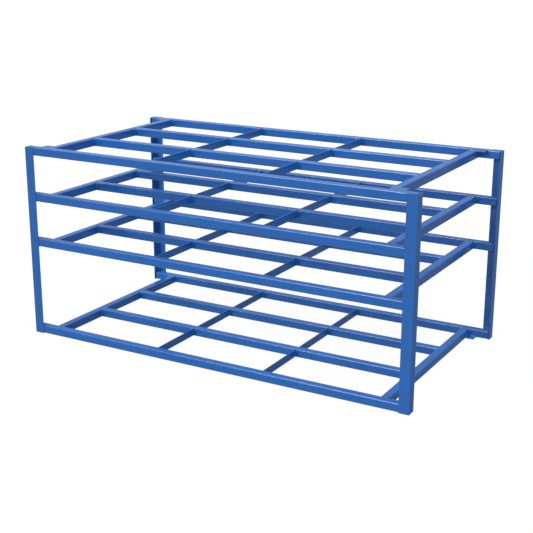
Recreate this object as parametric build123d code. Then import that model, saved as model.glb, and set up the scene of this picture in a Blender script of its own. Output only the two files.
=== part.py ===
from build123d import *
import os

# Four-level welded sheet storage rack.
# Row frame: origin at the floor, under the middle of the rack.
# +X runs along the length, +Y towards the back, +Z up. Millimetres.

os.makedirs("parts", exist_ok=True)

# Overall envelope, over the outside faces of the corner posts
rack_length = 2612.0
rack_depth = 1390.0
rack_height = 1219.2

# Corner posts: equal angle, heel at the outside corner of the rack
angle_leg = 63.5
angle_thickness = 6.35
angle_root_radius = 5.0
angle_toe_radius = 3.0
angle_edge_radius = 1.0

# Rails, end cross members and longitudinals: square tube
tube_size = 50.8
tube_wall = 3.05
tube_corner_radius = 6.0

# Cross bars: flat bar standing on edge
bar_thickness = 6.35
bar_height = 46.0
bar_edge_radius = 1.0

# Corner plates, in the angle between a rail and an end cross member
plate_size = 50.8
plate_thickness = 6.35
plate_corner_radius = 3.0
plate_edge_bevel = 0.6

# Layout
end_inset = 140.0
level_slots = {"top": 0, "upper": 1, "middle": 2, "bottom": 4}
plate_levels = ("top", "bottom")
inner_count = 2

# Derived positions
half_length = rack_length / 2
half_depth = rack_depth / 2
level_pitch = (rack_height - tube_size) / 4
level_top = {name: rack_height - slot * level_pitch for name, slot in level_slots.items()}
rail_length = rack_length - 2 * (angle_thickness + angle_root_radius)
rail_centre_y = half_depth - angle_thickness - tube_size / 2
rail_inner_y = rail_centre_y - tube_size / 2
cross_length = 2 * rail_inner_y
cross_centre_x = half_length - end_inset - tube_size / 2
cross_inner_x = cross_centre_x - tube_size / 2
run_gap_y = (2 * rail_inner_y - inner_count * tube_size) / (inner_count + 1)
run_y = [-rail_inner_y + (i + 1) * run_gap_y + (i + 0.5) * tube_size for i in range(inner_count)]
bar_gap_x = (2 * cross_inner_x - inner_count * bar_thickness) / (inner_count + 1)
bar_x = [-cross_inner_x + (i + 1) * bar_gap_x + (i + 0.5) * bar_thickness for i in range(inner_count)]
bay_y = [-rail_inner_y + (i + 0.5) * run_gap_y + i * tube_size for i in range(inner_count + 1)]


def corner_at(section, x, y):
    """The section's corner nearest to a point."""
    return section.vertices().sort_by(lambda v: abs(v.X - x) + abs(v.Y - y))[0]


def angle_post():
    """Equal angle standing at a front left corner: heel at the origin, legs along +X and +Y."""
    side_leg = Rectangle(angle_thickness, angle_leg, align=(Align.MIN, Align.MIN))
    front_leg = Rectangle(angle_leg, angle_thickness, align=(Align.MIN, Align.MIN))
    section = side_leg + front_leg
    rounding = (
        (angle_thickness, angle_thickness, angle_root_radius),
        (angle_leg, angle_thickness, angle_toe_radius),
        (angle_thickness, angle_leg, angle_toe_radius),
        (angle_leg, 0, angle_edge_radius),
        (0, angle_leg, angle_edge_radius),
        (0, 0, angle_edge_radius),
    )
    for x, y, radius in rounding:
        section = fillet(corner_at(section, x, y), radius)
    return extrude(section, rack_height)


def square_tube(length):
    """Square hollow section along X, centred on the origin."""
    outer = RectangleRounded(tube_size, tube_size, tube_corner_radius)
    bore_size = tube_size - 2 * tube_wall
    bore = RectangleRounded(bore_size, bore_size, tube_corner_radius - tube_wall)
    body = extrude(outer - bore, length / 2, both=True)
    return Rot(0, 90, 0) * body


def cross_bar():
    """Flat bar on edge along Y, centred in X and Y, with its top edge at z = 0."""
    bar = Box(bar_thickness, run_gap_y, bar_height, align=(Align.CENTER, Align.CENTER, Align.MAX))
    return fillet(bar.edges().filter_by(Axis.Y), bar_edge_radius)


def corner_plate():
    """Square plate lying flat: the corner that meets the rail and cross member at the origin."""
    plate = Box(plate_size, plate_size, plate_thickness, align=(Align.MIN, Align.MIN, Align.MIN))
    free_corner = plate.edges().filter_by(Axis.Z).sort_by(lambda e: e.center().X + e.center().Y)[-1]
    plate = fillet(free_corner, plate_corner_radius)
    rims = plate.edges().group_by(Axis.Z)
    return chamfer(rims[0] + rims[-1], plate_edge_bevel)


def save(shape, node):
    export_step(shape, f"parts/{node}.step")


ends = {"left": -1, "right": 1}
sides = {"front": -1, "rear": 1}

# Posts: one angle mirrored into the four corners
post = angle_post()
for side, sy in sides.items():
    for end, sx in ends.items():
        corner = post
        if sx > 0:
            corner = mirror(corner, Plane.YZ)
        if sy > 0:
            corner = mirror(corner, Plane.XZ)
        save(Pos(sx * half_length, sy * half_depth, 0) * corner, f"post_{side}_{end}")

# Levels: two rails, two end cross members, two longitudinals and six cross bars on each
rail = square_tube(rail_length)
end_member = Rot(0, 0, 90) * square_tube(cross_length)
longitudinal = square_tube(2 * cross_inner_x)
bar = cross_bar()
for level, top in level_top.items():
    mid = top - tube_size / 2
    for side, sy in sides.items():
        save(Pos(0, sy * rail_centre_y, mid) * rail, f"{level}_{side}_rail")
    for end, sx in ends.items():
        save(Pos(sx * cross_centre_x, 0, mid) * end_member, f"{level}_{end}_cross_member")
    for y, side in zip(run_y, sides):
        save(Pos(0, y, mid) * longitudinal, f"{level}_{side}_longitudinal")
    for x, end in zip(bar_x, ends):
        for y, bay in zip(bay_y, ("front", "centre", "rear")):
            save(Pos(x, y, top) * bar, f"{level}_{end}_cross_bar_{bay}")

# Corner plates: flush with the tops of the top level and the undersides of the bottom level
plate = corner_plate()
for level in plate_levels:
    top = level_top[level]
    base = top - plate_thickness if level == "top" else top - tube_size
    for side, sy in sides.items():
        for end, sx in ends.items():
            tab = plate
            if sx < 0:
                tab = mirror(tab, Plane.YZ)
            if sy > 0:
                tab = mirror(tab, Plane.XZ)
            x = sx * (half_length - end_inset)
            save(Pos(x, sy * rail_inner_y, base) * tab, f"{level}_plate_{side}_{end}")
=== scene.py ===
"""Painted steel sheet rack: paint, weld beads, camera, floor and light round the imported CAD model.

Everything is in metres in the row frame: origin on the floor under the middle, +X along the length,
+Y to the back, +Z up.
"""

import math
import random

import bmesh
import bpy
from mathutils import Matrix, Vector


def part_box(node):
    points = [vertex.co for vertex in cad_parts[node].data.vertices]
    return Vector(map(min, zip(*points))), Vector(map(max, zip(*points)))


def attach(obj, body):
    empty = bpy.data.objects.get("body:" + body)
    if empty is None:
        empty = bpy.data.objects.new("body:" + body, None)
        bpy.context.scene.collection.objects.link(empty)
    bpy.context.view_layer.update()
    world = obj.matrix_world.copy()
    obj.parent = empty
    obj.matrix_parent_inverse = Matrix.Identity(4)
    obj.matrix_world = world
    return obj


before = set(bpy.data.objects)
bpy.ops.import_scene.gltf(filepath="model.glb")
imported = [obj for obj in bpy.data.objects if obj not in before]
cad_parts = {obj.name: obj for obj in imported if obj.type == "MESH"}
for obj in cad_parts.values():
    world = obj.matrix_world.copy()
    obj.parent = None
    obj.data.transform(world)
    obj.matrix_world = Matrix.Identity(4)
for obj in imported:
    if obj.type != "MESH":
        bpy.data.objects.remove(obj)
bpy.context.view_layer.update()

MM = 0.001
LEVELS = ("top", "upper", "middle", "bottom")
SIDES = {"front": -1, "rear": 1}
ENDS = {"left": -1, "right": 1}
BAYS = ("front", "centre", "rear")
PLATE_LEVELS = ("top", "bottom")

# Camera, at eye height off the right front corner
CAMERA_AT = Vector((3.2968, -5.7368, 2.4607))
CAMERA_YAW = math.radians(29.693)
CAMERA_PITCH = math.radians(16.831)
CAMERA_ROLL = math.radians(0.109)
CAMERA_LENS = 73.34

# Paint, as linear colours, with the strength of its reflection and of its bumps
PAINT = (0.0090, 0.1080, 0.3850)
PAINT_LIGHT = (0.0120, 0.1220, 0.4200)
PAINT_DARK = (0.0070, 0.0960, 0.3500)
GLOSS = 0.68
BUMP_STRENGTH = 0.12
BUMP_DEPTH = 0.06 * MM

# Spacing of the paint's patterns, in waves to the metre
CLOUDS = 2.2
HAZE = 7.0
THIN_PATCHES = 26.0
EDGE_WEAR = 90.0
ORANGE_PEEL = 340.0

# Studio: the floor's half width, glow and own colour, and the world's lobes. A lobe has the direction it
# is centred on, and the dot products at which it starts and is full.
FLOOR_HALF = 80.0
FLOOR_GLOW = 0.90
FLOOR_DARK = (0.070, 0.070, 0.070)
FLOOR_PALE = (0.085, 0.085, 0.085)
HORIZON_LOBE = ((-0.70, 0.70, 0.14), 0.84, 0.99)
FRONT_LOBE = ((-0.45, -0.83, -0.32), 0.70, 0.95)
REAR_LOBE = ((-0.60, 0.66, -0.45), 0.68, 0.92)


# ---------------------------------------------------------------- camera

def add_camera():
    data = bpy.data.cameras.new("camera")
    data.sensor_width = 36.0
    data.lens = CAMERA_LENS
    data.clip_end = 500.0
    cam = bpy.data.objects.new("camera", data)
    turn = (Matrix.Rotation(CAMERA_YAW, 4, "Z")
            @ Matrix.Rotation(math.pi / 2 - CAMERA_PITCH, 4, "X")
            @ Matrix.Rotation(CAMERA_ROLL, 4, "Z"))
    cam.matrix_world = Matrix.Translation(CAMERA_AT) @ turn
    bpy.context.scene.collection.objects.link(cam)
    bpy.context.scene.camera = cam


# ---------------------------------------------------------------- node helpers

def new_material(name):
    mat = bpy.data.materials.new(name)
    mat.use_nodes = True
    tree = mat.node_tree
    bsdf = next(n for n in tree.nodes if n.type == "BSDF_PRINCIPLED")
    return mat, tree, bsdf


def noise(tree, coords, scale, detail=3.0, rough=0.5, stretch=(1, 1, 1)):
    """Value noise on object coordinates; returns its factor output."""
    node = tree.nodes.new("ShaderNodeTexNoise")
    node.inputs["Scale"].default_value = scale
    node.inputs["Detail"].default_value = detail
    node.inputs["Roughness"].default_value = rough
    if stretch == (1, 1, 1):
        tree.links.new(coords, node.inputs["Vector"])
    else:
        mapping = tree.nodes.new("ShaderNodeMapping")
        mapping.inputs["Scale"].default_value = stretch
        tree.links.new(coords, mapping.inputs["Vector"])
        tree.links.new(mapping.outputs["Vector"], node.inputs["Vector"])
    return node.outputs["Fac"]


def remap(tree, value, lo, hi, out_lo=0.0, out_hi=1.0, smooth=False):
    node = tree.nodes.new("ShaderNodeMapRange")
    if smooth:
        node.interpolation_type = "SMOOTHSTEP"
    node.inputs["From Min"].default_value = lo
    node.inputs["From Max"].default_value = hi
    node.inputs["To Min"].default_value = out_lo
    node.inputs["To Max"].default_value = out_hi
    tree.links.new(value, node.inputs["Value"])
    return node.outputs["Result"]


def maths(tree, operation, a, b=None):
    node = tree.nodes.new("ShaderNodeMath")
    node.operation = operation
    for socket, value in zip(node.inputs, (a, b)):
        if value is None:
            continue
        if isinstance(value, (int, float)):
            socket.default_value = value
        else:
            tree.links.new(value, socket)
    return node.outputs["Value"]


def mix_colour(tree, factor, a, b):
    node = tree.nodes.new("ShaderNodeMix")
    node.data_type = "RGBA"
    tree.links.new(factor, node.inputs["Factor"])
    for name, value in (("A", a), ("B", b)):
        socket = next(s for s in node.inputs if s.name == name and s.type == "RGBA")
        if isinstance(value, tuple):
            socket.default_value = (*value, 1.0)
        else:
            tree.links.new(value, socket)
    return next(s for s in node.outputs if s.type == "RGBA")


def edge_mask(tree):
    """1 on rounded corners, where the surface faces between two axes, and 0 on flat faces."""
    geometry = tree.nodes.new("ShaderNodeNewGeometry")
    absolute = tree.nodes.new("ShaderNodeVectorMath")
    absolute.operation = "ABSOLUTE"
    tree.links.new(geometry.outputs["Normal"], absolute.inputs[0])
    split = tree.nodes.new("ShaderNodeSeparateXYZ")
    tree.links.new(absolute.outputs["Vector"], split.inputs["Vector"])
    widest = maths(tree, "MAXIMUM", split.outputs["X"], split.outputs["Y"])
    widest = maths(tree, "MAXIMUM", widest, split.outputs["Z"])
    return remap(tree, widest, 0.99, 0.80, smooth=True)


# ---------------------------------------------------------------- paint

def paint(name, grain, grain_size, roughness=0.22, edges=True):
    """Gloss enamel over steel. grain stretches the mill marks that show through the paint, and edges
    lightens it on rounded corners."""
    mat, tree, bsdf = new_material(name)
    coords = tree.nodes.new("ShaderNodeTexCoord").outputs["Object"]
    link = tree.links.new

    clouds = remap(tree, noise(tree, coords, CLOUDS, 4.0, 0.6), 0.35, 0.65)
    colour = mix_colour(tree, clouds, PAINT_DARK, PAINT)
    thin = remap(tree, noise(tree, coords, THIN_PATCHES, 3.0, 0.6), 0.55, 0.75, 0.0, 0.55)
    colour = mix_colour(tree, thin, colour, PAINT_LIGHT)
    if edges:
        breakup = remap(tree, noise(tree, coords, EDGE_WEAR, 3.0, 0.6), 0.35, 0.7, 0.25, 0.9)
        worn = maths(tree, "MULTIPLY", edge_mask(tree), breakup)
        colour = mix_colour(tree, worn, colour, PAINT_LIGHT)
    link(colour, bsdf.inputs["Base Color"])

    haze = noise(tree, coords, HAZE, 4.0, 0.65)
    link(remap(tree, haze, 0.3, 0.7, roughness - 0.05, roughness + 0.07), bsdf.inputs["Roughness"])

    orange_peel = noise(tree, coords, ORANGE_PEEL, 2.0, 0.5)
    mill = noise(tree, coords, grain_size, 2.0, 0.5, stretch=grain)
    height = maths(tree, "ADD", orange_peel, maths(tree, "MULTIPLY", mill, 0.8))
    bump = tree.nodes.new("ShaderNodeBump")
    bump.inputs["Strength"].default_value = BUMP_STRENGTH
    bump.inputs["Distance"].default_value = BUMP_DEPTH
    link(height, bump.inputs["Height"])
    link(bump.outputs["Normal"], bsdf.inputs["Normal"])
    bsdf.inputs["Specular IOR Level"].default_value = GLOSS
    return mat


def assign(node, mat):
    for material_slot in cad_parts[node].material_slots:
        material_slot.material = mat


add_camera()
paints = {
    "tube_x": paint("paint_tube_lengthways", (0.05, 1, 1), 160.0),
    "tube_y": paint("paint_tube_crossways", (1, 0.05, 1), 160.0),
    "angle": paint("paint_hot_rolled_angle", (1, 1, 0.08), 120.0, roughness=0.25),
    "bar": paint("paint_flat_bar", (1, 0.08, 1), 140.0, roughness=0.24),
    "plate": paint("paint_corner_plate", (1, 1, 1), 60.0, roughness=0.25),
}
for side in SIDES:
    for end in ENDS:
        assign(f"post_{side}_{end}", paints["angle"])
for level in LEVELS:
    for side in SIDES:
        assign(f"{level}_{side}_rail", paints["tube_x"])
        assign(f"{level}_{side}_longitudinal", paints["tube_x"])
    for end in ENDS:
        assign(f"{level}_{end}_cross_member", paints["tube_y"])
        for bay in BAYS:
            assign(f"{level}_{end}_cross_bar_{bay}", paints["bar"])
for level in PLATE_LEVELS:
    for side in SIDES:
        for end in ENDS:
            assign(f"{level}_plate_{side}_{end}", paints["plate"])


# ---------------------------------------------------------------- weld beads

rail_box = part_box("top_front_rail")
bar_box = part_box("top_left_cross_bar_front")
TUBE_SIZE = rail_box[1].z - rail_box[0].z
BAR_WIDTH = bar_box[1].x - bar_box[0].x
TUBE_CORNER = 6.0 * MM
UP = Vector((0, 0, 1))

BAR_EDGE = 0.6 * MM

# Fillets: how far they reach on each face, and where the upright ones start and stop, measured down from
# the level's top, to clear the corner plates
TUBE_LEG = 4.6 * MM
BAR_LEG = 3.8 * MM
UPRIGHT_TOP = 7.2 * MM
UPRIGHT_BASE = 43.4 * MM

# Surface of a fillet: how deep it is buried, its ripples' spacing and bow, the wavelength of its sway,
# and as parts of its leg its ripples' height, its sway, its hollow and its size at the ends
BURY = 0.15 * MM
RIPPLE = 4.2 * MM
RIPPLE_BOW = 0.35
RIPPLE_HEIGHT = 0.06
SWAY_LENGTH = 9 * MM
SWAY = 0.05
HOLLOW = 0.20
END_SIZE = 0.45

# Flush beads: how far apart their sections are and how much their crowns waver, and how far a rail's bead
# stays from the toe of the post and from the rail's end
FILL_STEP = 5 * MM
WAVER = 0.25
TOE_CLEAR = 4 * MM
TIP_CLEAR = 2 * MM
PLATE_CLEAR = 2 * MM
SHARP_ANGLE = math.radians(55)

# Sections of the beads that fill a tube's rounded corner, in mm: distance into the tube that is welded
# to, and height above its face. FLUSH ends level with the face; FLARE climbs the post. The last points
# are buried in the steel.
FLUSH = ((-1.6, -0.10), (0.4, 0.22), (3.0, 0.32), (5.6, 0.22), (7.6, -0.10),
         (6.4, -1.40), (2.4, -3.40), (0.3, -6.20), (-0.3, -6.20))
FLARE = ((-0.2, 3.80), (1.5, 3.10), (3.4, 2.00), (5.4, 0.80), (7.6, -0.10),
         (6.2, -1.30), (1.6, -2.60), (-0.2, -2.80))


def skin(bm, rings):
    """Closed skin over rings of points, capped at both ends."""
    made = [[bm.verts.new(point) for point in ring] for ring in rings]
    for ring, following in zip(made, made[1:]):
        for i in range(len(ring)):
            j = (i + 1) % len(ring)
            bm.faces.new((ring[i], ring[j], following[j], following[i]))
    bm.faces.new(made[0])
    bm.faces.new(made[-1])


def fillet(bm, start, end, u, v, leg, rng):
    """Rippled bead from start to end, in the corner between two faces that run along u and v."""
    length = (end - start).length
    steps = max(6, round(length / RIPPLE * 3))
    phase, wander = rng.uniform(0, 1), rng.uniform(0, 6)
    rings = []
    for i in range(steps + 1):
        run = length * i / steps
        root = start.lerp(end, i / steps)
        taper = END_SIZE + (1 - END_SIZE) * math.sqrt(min(1.0, min(run, length - run) / leg))
        sway = SWAY * math.sin(wander + run / SWAY_LENGTH)
        ring = [root - (u + v) * 2 * BURY]
        for k in range(5):
            turn = math.pi / 8 * k
            crown = 1 - HOLLOW * math.sin(2 * turn) ** 2
            crest = math.cos(2 * math.pi * (run / RIPPLE + phase + RIPPLE_BOW * math.sin(2 * turn)))
            reach = leg * taper * crown * (1 + RIPPLE_HEIGHT * crest + sway)
            ring.append(root + (u * math.cos(turn) + v * math.sin(turn)) * reach)
        ring[1] -= v * BURY
        ring[-1] -= u * BURY
        rings.append(ring)
    skin(bm, rings)


def fill(bm, start, end, into, up, section, rng):
    """Bead of one section from start to end, its crown wavering a little."""
    steps = max(2, round((end - start).length / FILL_STEP))
    rings = []
    for i in range(steps + 1):
        crown = 1 + rng.uniform(-WAVER, WAVER)
        root = start.lerp(end, i / steps)
        rings.append([root + (into * a + up * (h * crown if h > 0 else h)) * MM for a, h in section])
    skin(bm, rings)


def weld_tube(bm, at, out, under, rng):
    """Welds a tube's end to a face: at is on the face, at the middle of the tube's top, and out points
    along the tube, away from the face. under says whether its underside is welded as well."""
    side = UP.cross(out)
    for sign in (-1, 1):
        corner = at + side * (sign * TUBE_SIZE / 2)
        fillet(bm, corner - UP * UPRIGHT_BASE, corner - UP * UPRIGHT_TOP, side * sign, out, TUBE_LEG, rng)
    half = side * (TUBE_SIZE / 2 - TUBE_CORNER)
    fill(bm, at - half, at + half, -out, UP, FLUSH, rng)
    if under:
        at = at - UP * TUBE_SIZE
        fill(bm, at - half, at + half, -out, -UP, FLUSH, rng)


def weld_bar(bm, at, out, rng):
    """Welds a cross bar's end to a face, as weld_tube does a tube's."""
    side = UP.cross(out)
    for sign in (-1, 1):
        corner = at + side * (sign * BAR_WIDTH / 2)
        fillet(bm, corner - UP * UPRIGHT_BASE, corner - UP * UPRIGHT_TOP, side * sign, out, BAR_LEG, rng)
    half = side * (BAR_WIDTH / 2 - BAR_EDGE)
    fill(bm, at - half, at + half, -out, UP, FLUSH, rng)


def weld_plate(bm, plate, top, sx, sy, rng):
    """Welds a corner plate along its two inner edges: fillets on the face in the corner, and on the top
    level a flush fill on its other face. sx and sy point from the rack's middle to the plate."""
    lo, hi = plate
    back = lo.z if top else hi.z
    x0, x1 = (lo.x, hi.x) if sx > 0 else (hi.x, lo.x)
    y0, y1 = (hi.y, lo.y) if sy > 0 else (lo.y, hi.y)
    clear = PLATE_CLEAR
    edges = (((x0, y0 - sy * clear), (x0, y1 + sy * clear), Vector((sx, 0, 0))),
             ((x0 + sx * clear, y0), (x1 - sx * clear, y0), Vector((0, -sy, 0))))
    for start, end, out in edges:
        fillet(bm, Vector((*start, back)), Vector((*end, back)), out, -UP if top else UP, BAR_LEG, rng)
        if top:
            fill(bm, Vector((*start, hi.z)), Vector((*end, hi.z)), -out, UP, FLUSH, rng)


def weld_post(bm, level, rail, post, sx, sy, rng):
    """Welds a rail into a post: up the toe of the post's leg, and along the rail's top and underside."""
    toe = post[0].x if sx > 0 else post[1].x
    tip = rail[1].x if sx > 0 else rail[0].x
    face = rail[1].y if sy > 0 else rail[0].y
    base, top = rail[0].z, rail[1].z
    outward = Vector((0, sy, 0))
    fillet(bm, Vector((toe, face, top - UPRIGHT_BASE)), Vector((toe, face, top - UPRIGHT_TOP)),
           Vector((-sx, 0, 0)), outward, TUBE_LEG, rng)
    near, far = toe + sx * TOE_CLEAR, tip - sx * TIP_CLEAR
    section = [(max(a, -0.3), h) for a, h in FLUSH] if level == "top" else FLARE
    fill(bm, Vector((near, face, top)), Vector((far, face, top)), -outward, UP, section, rng)
    if level != "bottom":
        fill(bm, Vector((near, face, base)), Vector((far, face, base)), -outward, -UP, FLARE, rng)


def add_welds(level, mat, seed):
    """All the beads of one level, as one piece."""
    rng = random.Random(seed)
    bm = bmesh.new()
    rails = {side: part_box(f"{level}_{side}_rail") for side in SIDES}
    runs = {side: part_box(f"{level}_{side}_longitudinal") for side in SIDES}
    top = rails["front"][1].z
    under = level != "bottom"
    for end, sx in ENDS.items():
        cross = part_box(f"{level}_{end}_cross_member")
        cross_x = (cross[0].x + cross[1].x) / 2
        cross_face = cross[0].x if sx > 0 else cross[1].x
        for side, sy in SIDES.items():
            rail_face = rails[side][0].y if sy > 0 else rails[side][1].y
            weld_tube(bm, Vector((cross_x, rail_face, top)), Vector((0, -sy, 0)), under, rng)
            run_y = (runs[side][0].y + runs[side][1].y) / 2
            weld_tube(bm, Vector((cross_face, run_y, top)), Vector((-sx, 0, 0)), under, rng)
            weld_post(bm, level, rails[side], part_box(f"post_{side}_{end}"), sx, sy, rng)
            if level in PLATE_LEVELS:
                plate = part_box(f"{level}_plate_{side}_{end}")
                weld_plate(bm, plate, level == "top", sx, sy, rng)
        for bay in BAYS:
            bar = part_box(f"{level}_{end}_cross_bar_{bay}")
            bar_x = (bar[0].x + bar[1].x) / 2
            weld_bar(bm, Vector((bar_x, bar[0].y, top)), Vector((0, 1, 0)), rng)
            weld_bar(bm, Vector((bar_x, bar[1].y, top)), Vector((0, -1, 0)), rng)
    bmesh.ops.recalc_face_normals(bm, faces=bm.faces)
    mesh = bpy.data.meshes.new(f"{level}_welds")
    bm.to_mesh(mesh)
    bm.free()
    mesh.shade_smooth()
    mesh.set_sharp_from_angle(angle=SHARP_ANGLE)
    mesh.materials.append(mat)
    piece = bpy.data.objects.new(f"{level}_welds", mesh)
    bpy.context.scene.collection.objects.link(piece)
    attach(piece, "root")


weld_paint = paint("paint_weld_bead", (1, 1, 1), 300.0, roughness=0.25, edges=False)
for seed, level in enumerate(LEVELS):
    add_welds(level, weld_paint, seed)


# ---------------------------------------------------------------- floor and light

def add_floor():
    """Plain pale floor: the camera sees it white, and the paint doesn't reflect it."""
    mesh = bpy.data.meshes.new("floor")
    corners = [(x * FLOOR_HALF, y * FLOOR_HALF, 0) for x, y in ((-1, -1), (1, -1), (1, 1), (-1, 1))]
    mesh.from_pydata(corners, [], [(0, 1, 2, 3)])
    floor = bpy.data.objects.new("floor", mesh)
    bpy.context.scene.collection.objects.link(floor)
    mat, tree, bsdf = new_material("floor_white")
    coords = tree.nodes.new("ShaderNodeTexCoord").outputs["Object"]
    tone = remap(tree, noise(tree, coords, 0.8, 3.0), 0.3, 0.7)
    colour = mix_colour(tree, tone, FLOOR_DARK, FLOOR_PALE)
    tree.links.new(colour, bsdf.inputs["Base Color"])
    bsdf.inputs["Roughness"].default_value = 0.9
    bsdf.inputs["Specular IOR Level"].default_value = 0.1
    bsdf.inputs["Emission Color"].default_value = (1.0, 1.0, 1.0, 1.0)
    bsdf.inputs["Emission Strength"].default_value = FLOOR_GLOW
    mesh.materials.append(mat)
    floor.visible_glossy = False
    floor.visible_diffuse = False
    floor.visible_shadow = False


def add_sun(name, aim, strength, softness):
    """Distant soft light; aim points from the rack to the light, and softness is its width in degrees."""
    data = bpy.data.lights.new(name, "SUN")
    data.energy = strength * math.pi
    data.angle = math.radians(softness)
    lamp = bpy.data.objects.new(name, data)
    lamp.rotation_euler = Vector(aim).to_track_quat("Z", "Y").to_euler()
    bpy.context.scene.collection.objects.link(lamp)


def lobe(tree, direction, centre, start, full):
    """0 to 1 as a direction turns to face the centre, between two values of their dot product."""
    dot = tree.nodes.new("ShaderNodeVectorMath")
    dot.operation = "DOT_PRODUCT"
    dot.inputs[1].default_value = Vector(centre).normalized()
    tree.links.new(direction, dot.inputs[0])
    return remap(tree, dot.outputs["Value"], start, full, smooth=True)


def add_world(ambient, below, horizon, front, rear):
    """Even surround, darker towards the ground, with lobes low behind the rack, low in front of it and
    on the ground at its back. Camera rays see plain white."""
    world = bpy.data.worlds.new("studio")
    world.use_nodes = True
    bpy.context.scene.world = world
    tree = world.node_tree
    lights = next(n for n in tree.nodes if n.type == "BACKGROUND")
    output = next(n for n in tree.nodes if n.type == "OUTPUT_WORLD")
    direction = tree.nodes.new("ShaderNodeTexCoord").outputs["Generated"]
    split = tree.nodes.new("ShaderNodeSeparateXYZ")
    tree.links.new(direction, split.inputs["Vector"])
    ground = remap(tree, split.outputs["Z"], -0.12, -0.70, smooth=True)
    band = remap(tree, split.outputs["Z"], 0.42, 0.18, smooth=True)
    sunk = remap(tree, split.outputs["Z"], -0.03, -0.20, smooth=True)
    at_horizon = maths(tree, "MULTIPLY", lobe(tree, direction, *HORIZON_LOBE), band)
    in_front = lobe(tree, direction, *FRONT_LOBE)
    at_rear = maths(tree, "MULTIPLY", lobe(tree, direction, *REAR_LOBE), sunk)
    colour = mix_colour(tree, ground, (ambient,) * 3, (below,) * 3)
    colour = mix_colour(tree, at_horizon, colour, (horizon,) * 3)
    colour = mix_colour(tree, in_front, colour, (front,) * 3)
    colour = mix_colour(tree, at_rear, colour, (rear,) * 3)
    tree.links.new(colour, lights.inputs["Color"])
    plain = tree.nodes.new("ShaderNodeBackground")
    plain.inputs["Color"].default_value = (1.0, 1.0, 1.0, 1.0)
    choose = tree.nodes.new("ShaderNodeMixShader")
    tree.links.new(tree.nodes.new("ShaderNodeLightPath").outputs["Is Camera Ray"], choose.inputs["Fac"])
    tree.links.new(lights.outputs["Background"], choose.inputs[1])
    tree.links.new(plain.outputs["Background"], choose.inputs[2])
    tree.links.new(choose.outputs["Shader"], output.inputs["Surface"])


add_floor()
add_world(ambient=0.285, below=0.093, horizon=0.60, front=0.371, rear=1.4)
add_sun("key", (-0.30, -0.78, 0.55), strength=0.64, softness=26.0)
add_sun("key_high", (-0.37, -0.30, 0.88), strength=0.132, softness=16.0)
add_sun("top_right", (0.40, 0.0, 0.92), strength=0.621, softness=26.0)
add_sun("top_left", (-0.45, 0.0, 0.89), strength=0.194, softness=40.0)
add_sun("front_fill", (0.10, -0.95, 0.30), strength=0.235, softness=60.0)
add_sun("right_fill", (0.90, -0.30, 0.30), strength=0.145, softness=60.0)

bpy.context.scene.view_settings.view_transform = "Standard"
